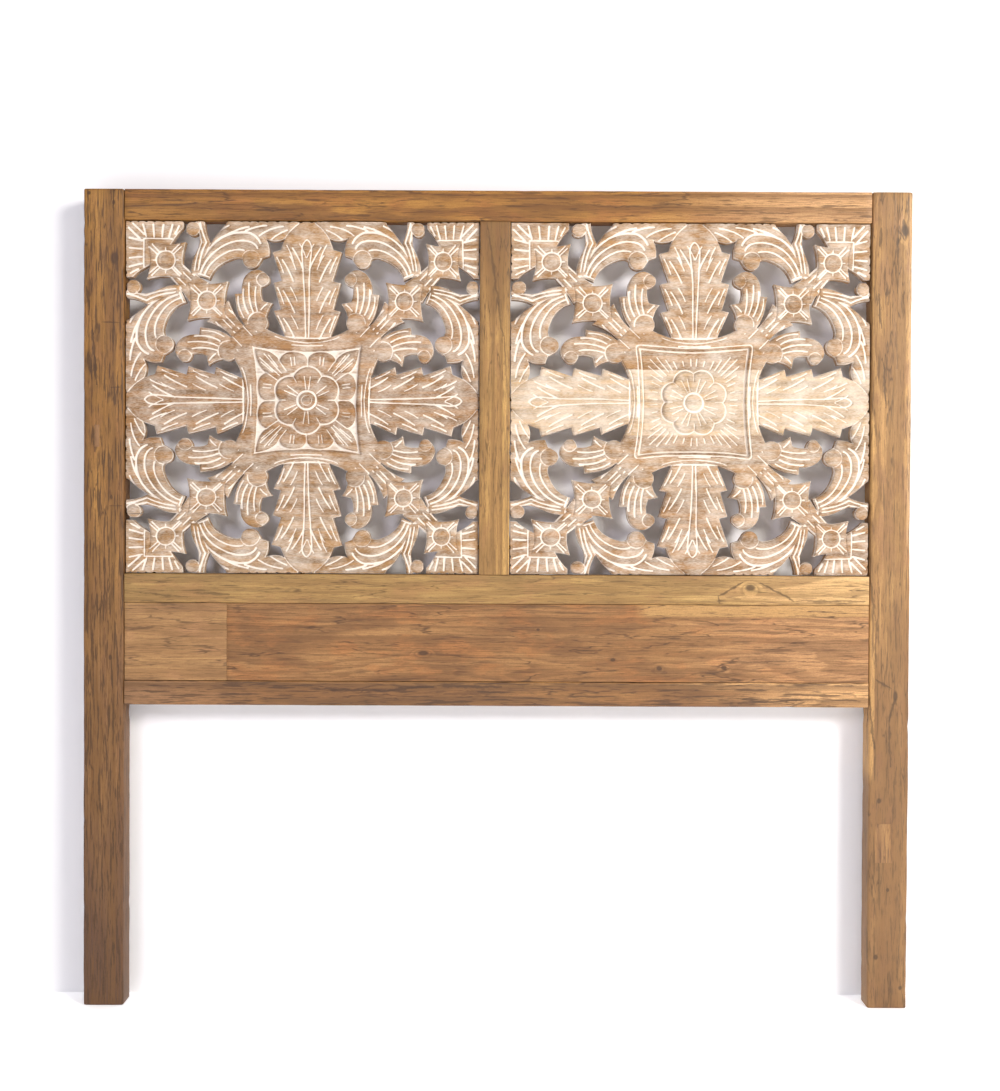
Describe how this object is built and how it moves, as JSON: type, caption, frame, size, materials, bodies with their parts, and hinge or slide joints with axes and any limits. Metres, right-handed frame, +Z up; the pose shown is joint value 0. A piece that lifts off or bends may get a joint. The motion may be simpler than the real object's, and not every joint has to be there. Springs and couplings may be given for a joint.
{
  "type": "carved headboard",
  "caption": "Panelled teak headboard on post legs, with two pierced and whitewashed square carvings of scrolls, leaves and rosettes over a plain boarded lower panel",
  "frame": {"origin": "on the floor, under the middle of the headboard's width and depth", "axes": "+X to the right as seen from the front, -Y out of the carved front, +Y towards the wall, +Z up"},
  "size_m": [1.6, 0.05, 1.58],
  "materials": {
    "teak_brown": "waxed, satin",
    "teak_golden": "waxed, satin",
    "teak_dark": "waxed, satin",
    "teak_red": "waxed, satin",
    "carving_left": "whitewashed and rubbed back, matte",
    "carving_right": "whitewashed and rubbed back, matte"
  },
  "bodies": {
    "root": {"left_post": "teak_brown", "right_post": "teak_golden", "top_rail": "teak_brown", "middle_rail": "teak_golden", "bottom_rail": "teak_dark", "centre_stile": "teak_golden", "lower_board_short": "teak_red", "lower_board_long": "teak_red", "lower_board_spline": "teak_dark", "post_tenon_pegs": "teak_dark", "stile_tenon_pegs": "teak_dark", "left_carving_dowels": "teak_dark", "right_carving_dowels": "teak_dark", "left_post_plug": "teak_golden", "right_leg_patch": "teak_golden", "left_carving_board_1": "carving_left", "left_carving_board_2": "carving_left", "left_carving_board_3": "carving_left", "left_carving_board_4": "carving_left", "left_carving_board_5": "carving_left", "right_carving_board_1": "carving_right", "right_carving_board_2": "carving_right", "right_carving_board_3": "carving_right", "right_carving_board_4": "carving_right", "right_carving_board_5": "carving_right"}
  },
  "joints": []
}
